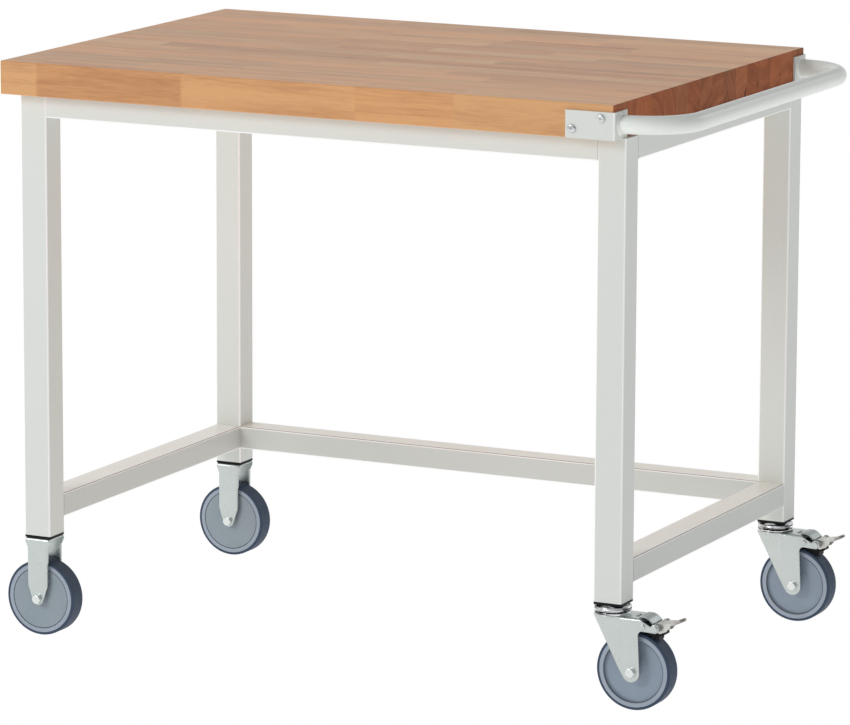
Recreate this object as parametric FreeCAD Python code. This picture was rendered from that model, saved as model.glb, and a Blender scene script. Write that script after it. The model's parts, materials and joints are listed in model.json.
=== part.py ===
import FreeCAD, Part
import math
import os

# A mobile work table: a laminated wooden top on a welded tube frame, with a push handle at the
# right-hand end, two fixed casters at the left and two braked swivel casters at the right.
# Units are millimetres. +X runs along the table to the handle, +Y to the back, +Z up.
# The origin is on the floor, at the middle of the table's outer box.

V = FreeCAD.Vector
TINY = 1e-6

# Table top
TOP_LENGTH = 1000.0
TOP_DEPTH = 700.0
TOP_THICKNESS = 50.0
TABLE_HEIGHT = 880.0
TOP_CHAMFER = 1.0

# Frame tubes
LEG_SIZE = 44.0
TUBE_WALL = 2.0
TUBE_CORNER = 2.5
LEG_BOTTOM = 155.5
LEG_INSET_LEFT = 19.0
LEG_OVERHANG_RIGHT = 8.5
LEG_INSET_FRONT = 25.0
TOP_RAIL_HEIGHT = 35.0
STRETCHER_TOP = 215.0
STRETCHER_HEIGHT = 36.0
LEG_CAP_THICKNESS = 3.0

# Leg plugs
PLUG_FLANGE = 3.5
PLUG_DEPTH = 30.0
PLUG_CLEARANCE = 0.1

# Push handle and its corner brackets
BRACKET_SHEET = 3.0
BRACKET_HEIGHT = 40.0
BRACKET_FRONT_LENGTH = 73.5
BRACKET_SIDE_LENGTH = 41.0
HANDLE_DIAMETER = 27.0
HANDLE_WALL = 2.0
HANDLE_REACH = 90.0
HANDLE_BEND = 80.0
HANDLE_HEIGHT = 21.5
WELD_SIZE = 3.0

# Screws
BRACKET_SCREW_RADIUS = 2.5
BRACKET_SCREW_LENGTH = 30.0
BRACKET_SCREW_HEAD = 6.2
BRACKET_SCREW_HEAD_HEIGHT = 2.8
BRACKET_SCREW_PLACES = ((-63.3, 13.5), (-18.2, 30.6))
TOP_SCREW_RADIUS = 3.0
TOP_SCREW_LENGTH = 30.0
TOP_SCREW_HEAD = 6.5
TOP_SCREW_HEAD_HEIGHT = 4.0
TOP_SCREW_ACCESS = 8.0
RAIL_SCREW_SHARES = (1.0 / 6.0, 0.5, 5.0 / 6.0)
SCREW_GAP = 0.1
DRIVE_RADIUS = 2.4
DRIVE_SLOT = 0.9

# Wheels
WHEEL_RADIUS = 57.5
WHEEL_WIDTH = 29.0
TYRE_THICKNESS = 4.0
TYRE_SHOULDER = 1.8
RIM_DEPTH = 6.5
BOND_GAP = 0.1
HUB_RADIUS = 10.5
AXLE_TUBE_RADIUS = 6.0
AXLE_TUBE_BORE = 4.1
RUNNING_CLEARANCE = 0.06
AXLE_RADIUS = 4.0
AXLE_HEAD_ACROSS = 13.0
AXLE_HEAD_HEIGHT = 5.3
AXLE_NUT_HEIGHT = 6.5
AXLE_END = 1.0
GUARD_RADIUS = 46.4
GUARD_FACE = 14.3
GUARD_THICKNESS = 1.5
GUARD_SLEEVE_RADIUS = 9.0

# Forks
FORK_HALF_WIDTH = 23.5
FORK_SHEET = 2.5
FORK_BEND = 4.0
FIXED_CROWN_TOP = 151.5
FIXED_CROWN_HALF = 21.0
FIXED_LEG_HALF = 17.0
FIXED_FLANGE = 5.0
FIXED_FLANGE_TOP = 138.0
FIXED_TAPER_TOP = 78.0
FIXED_TIP_RADIUS = 9.5
SWIVEL_CROWN_TOP = 138.0
SWIVEL_OFFSET = 38.9
SWIVEL_TIP_RADIUS = 13.3
RACE_RADIUS = 27.2
FORK_FOLD_X = 20.0
WING_ANGLE = 12.2
WING_FRONT_X = -25.0
WING_LIP = 3.0
WING_SLOPE = 1.635

# Studs and swivel bearing
STUD_RADIUS = 6.0
STUD_TOP = 182.0
STUD_HEAD_ACROSS = 19.0
STUD_HEAD_HEIGHT = 7.0
SWIVEL_HEAD_RADIUS = 11.0
SWIVEL_HEAD_GAP = 0.5
FORK_BORE = 8.0
WASHER_RADIUS = 12.0
UPPER_RACE_TOP = 152.0
UPPER_RACE_BOTTOM = 142.9
RACE_GROOVE = 1.5
LOWER_RACE_TOP = 141.0
BALL_RADIUS = 3.0
BALL_CIRCLE = 19.0
BALL_COUNT = 16
BALL_GAP = 0.05

# Brake of a swivel caster, in caster coordinates: x back from the swivel axis, z up
PEDAL_PIVOT = (75.5, 125.5)
PEDAL_HUB = 6.5
PEDAL_HALF_WIDTH = 14.0
PEDAL_SHEET = 2.5
TONGUE_MIDDLE = (105.5, 135.6)
TONGUE_LENGTH = 18.0
TONGUE_HALF_WIDTH = 9.0
TONGUE_THICKNESS = 4.5
TONGUE_TILT = 24.0
PIN_RADIUS = 3.0
PIN_HEAD = 5.0
PIN_HEAD_HEIGHT = 2.0
PIN_GAP = 0.05
CAM_THROW = 6.25
CAM_RADIUS = 5.5
CAM_ANGLE = 80.0
CAM_HALF_WIDTH = 8.0
SHOE_PIVOT = (57.0, 127.0)
SHOE_PIN_RADIUS = 2.5
SHOE_HUB = 5.0
SHOE_HALF_WIDTH = 9.5
SHOE_TRAVEL = 6.3
SHOE_GAP = 0.4
COVER_HALF_WIDTH = 16.0
LEAF_HALF_WIDTH = 6.0
LEAF_THICKNESS = 1.0
RIVET_X = 41.0
RIVET_SPACING = 7.0
RIVET_RADIUS = 1.5
RIVET_HEAD = 2.6
RIVET_HEAD_HEIGHT = 1.2

# Positions worked out from the sizes above
WHEEL_REACH_LEFT = WHEEL_RADIUS - LEG_INSET_LEFT - LEG_SIZE / 2
HANDLE_REACH_RIGHT = HANDLE_REACH + HANDLE_DIAMETER / 2
TOP_LEFT = -(TOP_LENGTH + HANDLE_REACH_RIGHT - WHEEL_REACH_LEFT) / 2
TOP_RIGHT = TOP_LEFT + TOP_LENGTH
TOP_FRONT = -TOP_DEPTH / 2
TOP_UNDERSIDE = TABLE_HEIGHT - TOP_THICKNESS
LEG_X = {
    "left": TOP_LEFT + LEG_INSET_LEFT + LEG_SIZE / 2,
    "right": TOP_RIGHT + LEG_OVERHANG_RIGHT - LEG_SIZE / 2,
}
LEG_Y = {
    "front": TOP_FRONT + LEG_INSET_FRONT + LEG_SIZE / 2,
    "rear": -TOP_FRONT - LEG_INSET_FRONT - LEG_SIZE / 2,
}
HALF_LEG = LEG_SIZE / 2
HALF_WHEEL = WHEEL_WIDTH / 2
RIM_RADIUS = WHEEL_RADIUS - TYRE_THICKNESS
FORK_INSIDE = FORK_HALF_WIDTH - FORK_SHEET


# ---------------------------------------------------------------- shape helpers

def block(x0, x1, y0, y1, z0, z1):
    return Part.makeBox(x1 - x0, y1 - y0, z1 - z0, V(x0, y0, z0))


def post(radius, x, y, z0, z1):
    """A cylinder that stands along Z."""
    return Part.makeCylinder(radius, z1 - z0, V(x, y, z0), V(0, 0, 1))


def rod(radius, x, z, y0, y1):
    """A cylinder that lies along Y."""
    return Part.makeCylinder(radius, y1 - y0, V(x, y0, z), V(0, 1, 0))


def rounded_loop(corners, place):
    """A closed wire through corners (u, v, radius); place turns (u, v) into a 3-D point."""
    edges = []
    ends = []
    count = len(corners)
    for i in range(count):
        u, v, radius = corners[i]
        here = V(u, v, 0)
        before = V(corners[i - 1][0], corners[i - 1][1], 0)
        after = V(corners[(i + 1) % count][0], corners[(i + 1) % count][1], 0)
        if radius == 0:
            ends.append((here, here))
            continue
        back = (before - here).normalize()
        on = (after - here).normalize()
        half = back.getAngle(on) / 2
        run = radius / math.tan(half)
        middle = here + (back + on).normalize() * (radius / math.sin(half) - radius)
        start = here + back * run
        stop = here + on * run
        edges.append(Part.Arc(place(start), place(middle), place(stop)).toShape())
        ends.append((start, stop))
    for i in range(count):
        start = ends[i][1]
        stop = ends[(i + 1) % count][0]
        if start.distanceToPoint(stop) > TINY:
            edges.append(Part.LineSegment(place(start), place(stop)).toShape())
    return Part.Wire(Part.__sortEdges__(edges))


def side_plate(corners, y0, y1):
    """A plate whose outline is in X and Z, from y0 to y1."""
    wire = rounded_loop(corners, lambda p: V(p.x, y0, p.y))
    return Part.Face(wire).extrude(V(0, y1 - y0, 0))


def floor_plate(corners, z0, z1):
    """A plate whose outline is in X and Y, from z0 to z1."""
    wire = rounded_loop(corners, lambda p: V(p.x, p.y, z0))
    return Part.Face(wire).extrude(V(0, 0, z1 - z0))


def ring_about_y(corners, x, z):
    """A ring turned about the line along Y through (x, z); corners are (radius, y, corner radius)."""
    wire = rounded_loop(corners, lambda p: V(x + p.x, p.y, z))
    return Part.Face(wire).revolve(V(x, 0, z), V(0, 1, 0), 360)


def ring_about_z(corners):
    """A ring turned about Z; corners are (radius, z, corner radius)."""
    wire = rounded_loop(corners, lambda p: V(p.x, 0, p.y))
    return Part.Face(wire).revolve(V(0, 0, 0), V(0, 0, 1), 360)


def rectangle(u, v, radius):
    """Corners of a rectangle 2u by 2v about the origin."""
    return [(-u, -v, radius), (u, -v, radius), (u, v, radius), (-u, v, radius)]


def hexagon_along_y(across, x, z, y0, y1):
    reach = across / math.sqrt(3)
    corners = []
    for i in range(6):
        angle = math.radians(60 * i)
        corners.append((x + reach * math.cos(angle), z + reach * math.sin(angle), 0))
    return side_plate(corners, y0, y1)


def hexagon_along_z(across, z0, z1):
    reach = across / math.sqrt(3)
    corners = []
    for i in range(6):
        angle = math.radians(60 * i)
        corners.append((reach * math.cos(angle), reach * math.sin(angle), 0))
    return floor_plate(corners, z0, z1)


def joined(shapes):
    whole = shapes[0].multiFuse(shapes[1:])
    return whole.removeSplitter()


def mirrored_y(shape):
    return shape.mirror(V(0, 0, 0), V(0, 1, 0))


def moved(shape, x, y, z=0.0):
    copy = shape.copy()
    copy.translate(V(x, y, z))
    return copy


def turned_y(shape, pivot, degrees):
    """Turn about the line along Y through pivot (x, z)."""
    copy = shape.copy()
    copy.rotate(V(pivot[0], 0, pivot[1]), V(0, 1, 0), degrees)
    return copy


def group(solids):
    return Part.makeCompound(solids)


def save(name, shape):
    solids = shape.Solids
    whole = solids[0] if len(solids) == 1 else Part.makeCompound(solids)
    assert whole.isValid(), name
    whole.exportStep("parts/" + name + ".step")
    print(f"{name}: {len(solids)} solid(s), {whole.Volume:.0f} mm3")


# ---------------------------------------------------------------- table top and frame

def rail_screw_points():
    """Where the top is screwed down: three along each long rail and one in each side rail."""
    points = []
    span = LEG_X["right"] - LEG_X["left"]
    for y in LEG_Y.values():
        for share in RAIL_SCREW_SHARES:
            points.append((LEG_X["left"] + span * share, y))
    for x in (LEG_X["left"], TOP_RIGHT - LEG_SIZE / 2):
        points.append((x, 0.0))
    return points


def bracket_screw_points():
    """Screw centres on the two front plates: x, outer face y, z and the way the screw points."""
    points = []
    for side in (-1, 1):
        for dx, dz in BRACKET_SCREW_PLACES:
            face = side * (TOP_DEPTH / 2 + BRACKET_SHEET)
            points.append((TOP_RIGHT + dx, face, TOP_UNDERSIDE + dz, -side))
    return points


def worktop():
    top = block(TOP_LEFT, TOP_RIGHT, TOP_FRONT, -TOP_FRONT, TOP_UNDERSIDE, TABLE_HEIGHT)
    rim = [e for e in top.Edges if min(v.Point.z for v in e.Vertexes) > TABLE_HEIGHT - 1]
    top = top.makeChamfer(TOP_CHAMFER, rim)
    holes = []
    for x, y in rail_screw_points():
        end = TOP_UNDERSIDE + TOP_SCREW_LENGTH + 1
        holes.append(post(TOP_SCREW_RADIUS + SCREW_GAP, x, y, TOP_UNDERSIDE - 1, end))
    for x, y, z, way in bracket_screw_points():
        inner = y + way * (BRACKET_SCREW_LENGTH + 1)
        holes.append(rod(BRACKET_SCREW_RADIUS + SCREW_GAP, x, z, min(y, inner), max(y, inner)))
    return top.cut(group(holes))


def tube_section(u, v, place):
    outer = rounded_loop(rectangle(u, v, TUBE_CORNER), place)
    inner_corner = TUBE_CORNER - TUBE_WALL
    inner = rounded_loop(rectangle(u - TUBE_WALL, v - TUBE_WALL, inner_corner), place)
    return Part.Face(outer).cut(Part.Face(inner))


def leg(x, y):
    section = tube_section(HALF_LEG, HALF_LEG, lambda p: V(x + p.x, y + p.y, LEG_BOTTOM))
    return section.extrude(V(0, 0, TOP_UNDERSIDE - LEG_BOTTOM))


def leg_cap(x, y):
    half = HALF_LEG - TUBE_WALL
    corners = rectangle(half, half, TUBE_CORNER - TUBE_WALL)
    return moved(floor_plate(corners, TOP_UNDERSIDE - LEG_CAP_THICKNESS, TOP_UNDERSIDE), x, y)


def rail_along_x(y, height, top):
    """A tube between the left and right legs."""
    x0 = LEG_X["left"] + HALF_LEG
    x1 = LEG_X["right"] - HALF_LEG
    middle = top - height / 2
    section = tube_section(HALF_LEG, height / 2, lambda p: V(x0, y + p.x, middle + p.y))
    return section.extrude(V(x1 - x0, 0, 0))


def rail_along_y(x, height, top):
    """A tube between the front and rear legs."""
    y0 = LEG_Y["front"] + HALF_LEG
    y1 = LEG_Y["rear"] - HALF_LEG
    middle = top - height / 2
    section = tube_section(HALF_LEG, height / 2, lambda p: V(x + p.x, y0, middle + p.y))
    return section.extrude(V(0, y1 - y0, 0))


def drilled_top_rail(rail):
    """Access holes in the lower wall and screw holes in the upper wall."""
    low = TOP_UNDERSIDE - TOP_RAIL_HEIGHT
    holes = []
    for x, y in rail_screw_points():
        holes.append(post(TOP_SCREW_ACCESS, x, y, low - 1, low + TUBE_WALL + 1))
        holes.append(post(TOP_SCREW_RADIUS + SCREW_GAP, x, y, low + TUBE_WALL, TOP_UNDERSIDE + 1))
    return rail.cut(group(holes))


def top_screw(x, y):
    head_top = TOP_UNDERSIDE - TUBE_WALL
    head_base = head_top - TOP_SCREW_HEAD_HEIGHT
    head = post(TOP_SCREW_HEAD, x, y, head_base, head_top)
    shank = post(TOP_SCREW_RADIUS, x, y, head_top, TOP_UNDERSIDE + TOP_SCREW_LENGTH)
    drive = moved(hexagon_along_z(2 * DRIVE_RADIUS, head_base - 1, head_base + 2), x, y)
    return joined([head, shank]).cut(drive)


def leg_plug(x, y):
    low = LEG_BOTTOM - PLUG_FLANGE
    high = LEG_BOTTOM + PLUG_DEPTH
    flange = floor_plate(rectangle(HALF_LEG, HALF_LEG, TUBE_CORNER), low, LEG_BOTTOM)
    half = HALF_LEG - TUBE_WALL - PLUG_CLEARANCE
    body = floor_plate(rectangle(half, half, 1.0), LEG_BOTTOM, high)
    bore = post(STUD_RADIUS + SCREW_GAP, 0, 0, low - 1, high + 1)
    return moved(joined([flange, body]).cut(bore), x, y)


# ---------------------------------------------------------------- push handle

def handle_bracket():
    """The front corner bracket: a plate on the front edge, folded round the end of the top."""
    front = TOP_FRONT
    corners = [
        (TOP_RIGHT - BRACKET_FRONT_LENGTH, front - BRACKET_SHEET, 0),
        (TOP_RIGHT + BRACKET_SHEET, front - BRACKET_SHEET, BRACKET_SHEET),
        (TOP_RIGHT + BRACKET_SHEET, front + BRACKET_SIDE_LENGTH, 0),
        (TOP_RIGHT, front + BRACKET_SIDE_LENGTH, 0),
        (TOP_RIGHT, front, 0),
        (TOP_RIGHT - BRACKET_FRONT_LENGTH, front, 0),
    ]
    plate = floor_plate(corners, TOP_UNDERSIDE, TOP_UNDERSIDE + BRACKET_HEIGHT)
    holes = []
    for dx, dz in BRACKET_SCREW_PLACES:
        radius = BRACKET_SCREW_RADIUS + SCREW_GAP
        holes.append(rod(radius, TOP_RIGHT + dx, TOP_UNDERSIDE + dz, front - BRACKET_SHEET - 1, front + 1))
    return plate.cut(group(holes))


def bracket_screw(x, y, z, way):
    """A pan-head screw with a cross recess; way is +1 where it points to +Y."""
    head = Part.makeCylinder(BRACKET_SCREW_HEAD, BRACKET_SCREW_HEAD_HEIGHT, V(x, 0, z), V(0, -1, 0))
    dome = [e for e in head.Edges if abs(e.BoundBox.YMax + BRACKET_SCREW_HEAD_HEIGHT) < TINY]
    head = head.makeFillet(BRACKET_SCREW_HEAD_HEIGHT * 0.6, dome)
    shank = rod(BRACKET_SCREW_RADIUS, x, z, 0, BRACKET_SCREW_LENGTH)
    deep = -BRACKET_SCREW_HEAD_HEIGHT * 0.5
    high = -BRACKET_SCREW_HEAD_HEIGHT - 1
    reach = DRIVE_RADIUS
    slot = DRIVE_SLOT / 2
    cross = joined([
        block(x - reach, x + reach, high, deep, z - slot, z + slot),
        block(x - slot, x + slot, high, deep, z - reach, z + reach),
    ])
    cross.rotate(V(x, 0, z), V(0, 1, 0), 30)
    screw = joined([head, shank]).cut(cross)
    if way < 0:
        screw = mirrored_y(screw)
    return moved(screw, 0, y)


def bent_bar(radius):
    """A solid bar along the handle's line: out, across the end of the table and back in."""
    root = TOP_RIGHT + BRACKET_SHEET
    far = TOP_RIGHT + HANDLE_REACH
    y0 = TOP_FRONT + (BRACKET_SIDE_LENGTH - BRACKET_SHEET) / 2
    z = TOP_UNDERSIDE + HANDLE_HEIGHT
    turn_x = far - HANDLE_BEND
    pieces = []
    for side in (-1, 1):
        y = -side * y0
        centre = V(turn_x, y - side * HANDLE_BEND, z)
        pieces.append(Part.makeCylinder(radius, turn_x - root, V(root, y, z), V(1, 0, 0)))
        disc = Part.Face(Part.Wire(Part.makeCircle(radius, V(turn_x, y, z), V(1, 0, 0))))
        pieces.append(disc.revolve(centre, V(0, 0, 1), -side * 90))
    across = 2 * (abs(y0) - HANDLE_BEND)
    pieces.append(rod(radius, far, z, -across / 2, across / 2))
    return joined(pieces)


def push_handle():
    tube = bent_bar(HANDLE_DIAMETER / 2).cut(bent_bar(HANDLE_DIAMETER / 2 - HANDLE_WALL))
    root = TOP_RIGHT + BRACKET_SHEET
    y0 = TOP_FRONT + (BRACKET_SIDE_LENGTH - BRACKET_SHEET) / 2
    z = TOP_UNDERSIDE + HANDLE_HEIGHT
    radius = HANDLE_DIAMETER / 2
    welds = []
    for y in (y0, -y0):
        bead = Part.makeCone(radius + WELD_SIZE, radius, WELD_SIZE, V(root, y, z), V(1, 0, 0))
        core = Part.makeCylinder(radius - HANDLE_WALL / 2, WELD_SIZE, V(root, y, z), V(1, 0, 0))
        welds.append(bead.cut(core))
    return joined([tube] + welds)


# ---------------------------------------------------------------- wheels and axles (caster coordinates)

def tyre(x):
    inner = RIM_RADIUS + BOND_GAP
    corners = [
        (inner, -HALF_WHEEL, 0),
        (WHEEL_RADIUS, -HALF_WHEEL, TYRE_SHOULDER),
        (WHEEL_RADIUS, HALF_WHEEL, TYRE_SHOULDER),
        (inner, HALF_WHEEL, 0),
    ]
    return ring_about_y(corners, x, WHEEL_RADIUS)


def wheel_core(x, hub_half):
    """A dished plastic centre with a raised rim; hub_half is half the hub's length."""
    rim_inside = RIM_RADIUS - RIM_DEPTH
    hub_bore = AXLE_TUBE_RADIUS + RUNNING_CLEARANCE
    half = [
        (hub_bore, hub_half, 0),
        (HUB_RADIUS, hub_half, 0.5),
        (HUB_RADIUS + 1.5, min(hub_half, HALF_WHEEL) - 1.5, 1.5),
        (22.0, 8.6, 6.0),
        (44.0, 9.5, 2.0),
        (rim_inside - 1.0, HALF_WHEEL - 1.0, 1.0),
        (rim_inside + 0.5, HALF_WHEEL, 0.5),
        (RIM_RADIUS, HALF_WHEEL, 0.5),
    ]
    other = [(r, -y, c) for r, y, c in reversed(half)]
    return ring_about_y(half + other, x, WHEEL_RADIUS)


def guarded_core(x):
    """The same rim with a short hub and a straight-sided recess that a guard disc covers."""
    rim_inside = RIM_RADIUS - RIM_DEPTH
    hub_bore = AXLE_TUBE_RADIUS + RUNNING_CLEARANCE
    hub_half = GUARD_FACE - GUARD_THICKNESS - 0.8
    half = [
        (hub_bore, hub_half, 0),
        (HUB_RADIUS + 5, hub_half, 1.0),
        (HUB_RADIUS + 9, 7.0, 3.0),
        (rim_inside, 7.0, 2.0),
        (rim_inside, HALF_WHEEL, 0.4),
        (RIM_RADIUS, HALF_WHEEL, 0.5),
    ]
    other = [(r, -y, c) for r, y, c in reversed(half)]
    return ring_about_y(half + other, x, WHEEL_RADIUS)


def thread_guard(side):
    """A flat disc in the wheel's recess, with a sleeve out to the fork."""
    bore = AXLE_TUBE_RADIUS + SCREW_GAP
    corners = [
        (bore, GUARD_FACE - GUARD_THICKNESS, 0),
        (GUARD_RADIUS, GUARD_FACE - GUARD_THICKNESS, 0),
        (GUARD_RADIUS, GUARD_FACE, 0.5),
        (GUARD_SLEEVE_RADIUS, GUARD_FACE, 1.0),
        (GUARD_SLEEVE_RADIUS, FORK_INSIDE, 0),
        (bore, FORK_INSIDE, 0),
    ]
    guard = ring_about_y(corners, 0, WHEEL_RADIUS)
    return guard if side > 0 else mirrored_y(guard)


def axle_tube(x):
    outer = rod(AXLE_TUBE_RADIUS, x, WHEEL_RADIUS, -FORK_INSIDE, FORK_INSIDE)
    return outer.cut(rod(AXLE_TUBE_BORE, x, WHEEL_RADIUS, -FORK_INSIDE - 1, FORK_INSIDE + 1))


def axle_bolt(x):
    z = WHEEL_RADIUS
    front = -FORK_HALF_WIDTH
    head = hexagon_along_y(AXLE_HEAD_ACROSS, x, z, front - AXLE_HEAD_HEIGHT, front)
    cap = Part.makeCone(
        AXLE_HEAD_ACROSS / 2 - 0.4,
        AXLE_HEAD_ACROSS / 2 - 0.4 + AXLE_HEAD_HEIGHT * 1.7,
        AXLE_HEAD_HEIGHT,
        V(x, front - AXLE_HEAD_HEIGHT, z),
        V(0, 1, 0),
    )
    end = FORK_HALF_WIDTH + AXLE_NUT_HEIGHT + AXLE_END
    shank = rod(AXLE_RADIUS, x, z, front, end)
    return joined([head.common(cap), shank])


def axle_nut(x):
    z = WHEEL_RADIUS
    near = FORK_HALF_WIDTH
    collar = near + AXLE_NUT_HEIGHT * 0.65
    nut = joined([
        hexagon_along_y(AXLE_HEAD_ACROSS, x, z, near, collar),
        rod(AXLE_HEAD_ACROSS / 2 - 0.7, x, z, collar, near + AXLE_NUT_HEIGHT),
    ])
    return nut.cut(rod(AXLE_RADIUS + SCREW_GAP, x, z, near - 1, near + AXLE_NUT_HEIGHT + 1))


# ---------------------------------------------------------------- fixed caster

def bent_crown(x0, x1, low, top):
    """A U of sheet, open downwards, that runs along X between its two bends."""
    outer = rounded_loop(
        [(-FORK_HALF_WIDTH, low, 0), (FORK_HALF_WIDTH, low, 0),
         (FORK_HALF_WIDTH, top, FORK_BEND), (-FORK_HALF_WIDTH, top, FORK_BEND)],
        lambda p: V(x0, p.x, p.y),
    )
    inner = rounded_loop(
        [(-FORK_INSIDE, low - 1, 0), (FORK_INSIDE, low - 1, 0),
         (FORK_INSIDE, top - FORK_SHEET, FORK_BEND - FORK_SHEET),
         (-FORK_INSIDE, top - FORK_SHEET, FORK_BEND - FORK_SHEET)],
        lambda p: V(x0, p.x, p.y),
    )
    reach = V(x1 - x0, 0, 0)
    return Part.Face(outer).extrude(reach).cut(Part.Face(inner).extrude(reach))


def fixed_fork():
    low = WHEEL_RADIUS - FIXED_TIP_RADIUS - 1
    sheet = bent_crown(-FIXED_CROWN_HALF, FIXED_CROWN_HALF, low, FIXED_CROWN_TOP)
    tip = WHEEL_RADIUS - 3.2 * FIXED_TIP_RADIUS
    outline = side_plate(
        [
            (-FIXED_CROWN_HALF, FIXED_CROWN_TOP, 0),
            (-FIXED_CROWN_HALF, 145.0, 2.0),
            (-FIXED_LEG_HALF, 136.0, 4.0),
            (-FIXED_LEG_HALF, FIXED_TAPER_TOP, 12.0),
            (0, tip, FIXED_TIP_RADIUS),
            (FIXED_LEG_HALF, FIXED_TAPER_TOP, 12.0),
            (FIXED_LEG_HALF, 136.0, 4.0),
            (FIXED_CROWN_HALF, 145.0, 2.0),
            (FIXED_CROWN_HALF, FIXED_CROWN_TOP, 0),
        ],
        -FORK_HALF_WIDTH,
        FORK_HALF_WIDTH,
    )
    pieces = [sheet.common(outline)]
    for side_x in (-1, 1):
        for side_y in (-1, 1):
            x = sorted((side_x * (FIXED_LEG_HALF - FORK_SHEET), side_x * FIXED_LEG_HALF))
            y = sorted((side_y * (FORK_HALF_WIDTH - FIXED_FLANGE), side_y * (FORK_HALF_WIDTH - 1)))
            pieces.append(block(x[0], x[1], y[0], y[1], FIXED_TAPER_TOP + 4, FIXED_FLANGE_TOP))
    fork = joined(pieces)
    bends = []
    for edge in fork.Edges:
        box = edge.BoundBox
        upright = box.XLength < TINY and box.YLength < TINY and box.ZLength > FIXED_LEG_HALF
        at_corner_x = abs(abs(box.XMin) - FIXED_LEG_HALF) < TINY
        at_corner_y = abs(abs(box.YMin) - FORK_HALF_WIDTH) < TINY
        if upright and at_corner_x and at_corner_y:
            bends.append(edge)
    bore = rod(AXLE_RADIUS + SCREW_GAP, 0, WHEEL_RADIUS, -FORK_HALF_WIDTH - 1, FORK_HALF_WIDTH + 1)
    stud_hole = post(STUD_RADIUS + SCREW_GAP, 0, 0, FIXED_CROWN_TOP - FORK_SHEET - 1, FIXED_CROWN_TOP + 1)
    return fork.makeFillet(2.2, bends).cut(group([bore, stud_hole]))


def fixed_stud():
    """A bolt up through the crown into the leg plug, with a washer under the plug."""
    under = FIXED_CROWN_TOP - FORK_SHEET
    head = hexagon_along_z(STUD_HEAD_ACROSS, under - STUD_HEAD_HEIGHT, under)
    shank = post(STUD_RADIUS, 0, 0, under, STUD_TOP)
    washer = post(WASHER_RADIUS, 0, 0, FIXED_CROWN_TOP, LEG_BOTTOM - PLUG_FLANGE)
    return joined([head, shank, washer])


# ---------------------------------------------------------------- swivel caster

def swivel_stud():
    """The king bolt: its collar sits on the upper race and its head holds the fork up."""
    under = SWIVEL_CROWN_TOP - FORK_SHEET - SWIVEL_HEAD_GAP
    head = post(SWIVEL_HEAD_RADIUS, 0, 0, under - STUD_HEAD_HEIGHT, under)
    shank = post(STUD_RADIUS, 0, 0, under, STUD_TOP)
    return joined([head, shank])


def upper_race():
    ball_top = LOWER_RACE_TOP - 2.5 + BALL_GAP + 2 * BALL_RADIUS
    corners = [
        (STUD_RADIUS + SCREW_GAP, UPPER_RACE_TOP, 0),
        (22.5, UPPER_RACE_TOP, 2.0),
        (RACE_RADIUS, UPPER_RACE_TOP - 3.0, 1.0),
        (RACE_RADIUS, UPPER_RACE_TOP - 4.3, 0.4),
        (RACE_RADIUS - RACE_GROOVE, UPPER_RACE_TOP - 4.8, 0.2),
        (RACE_RADIUS - RACE_GROOVE, UPPER_RACE_TOP - 5.5, 0.2),
        (RACE_RADIUS, UPPER_RACE_TOP - 6.0, 0.4),
        (RACE_RADIUS, UPPER_RACE_BOTTOM, 0.6),
        (BALL_CIRCLE + BALL_RADIUS + 1.5, UPPER_RACE_BOTTOM, 0),
        (BALL_CIRCLE + BALL_RADIUS + 1.5, ball_top + 0.3, 1.0),
        (BALL_CIRCLE - BALL_RADIUS - 1.5, ball_top + 0.3, 0),
        (BALL_CIRCLE - BALL_RADIUS - 1.5, UPPER_RACE_BOTTOM, 0),
        (STUD_RADIUS + SCREW_GAP, UPPER_RACE_BOTTOM, 0),
    ]
    return ring_about_z(corners)


def lower_race():
    floor = LOWER_RACE_TOP - 2.5
    corners = [
        (FORK_BORE + 2, SWIVEL_CROWN_TOP, 0),
        (RACE_RADIUS, SWIVEL_CROWN_TOP, 0.2),
        (RACE_RADIUS, LOWER_RACE_TOP, 0.9),
        (RACE_RADIUS - 2.0, LOWER_RACE_TOP, 0.3),
        (RACE_RADIUS - 2.6, floor, 0),
        (FORK_BORE + 2, floor, 0),
    ]
    return ring_about_z(corners)


def bearing_balls():
    centre_z = LOWER_RACE_TOP - 2.5 + BALL_GAP + BALL_RADIUS
    balls = []
    for i in range(BALL_COUNT):
        angle = 2 * math.pi * i / BALL_COUNT
        balls.append(Part.makeSphere(
            BALL_RADIUS, V(BALL_CIRCLE * math.cos(angle), BALL_CIRCLE * math.sin(angle), centre_z)))
    return group(balls)


def fork_wing():
    """The slanted leading part of the side sheet, on the -Y side."""
    edge_top = SWIVEL_CROWN_TOP - WING_LIP
    low = edge_top - (FORK_FOLD_X + 0.5 - WING_FRONT_X) * WING_SLOPE
    corners = [
        (FORK_FOLD_X + 0.5, SWIVEL_CROWN_TOP - 0.8, 0),
        (WING_FRONT_X, SWIVEL_CROWN_TOP - 0.8, 1.5),
        (WING_FRONT_X, edge_top, 1.5),
        (FORK_FOLD_X + 0.5, low, 0),
    ]
    wing = side_plate(corners, -FORK_HALF_WIDTH, -FORK_INSIDE)
    wing.rotate(V(FORK_FOLD_X, -FORK_HALF_WIDTH, 0), V(0, 0, 1), -WING_ANGLE)
    return wing


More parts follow.
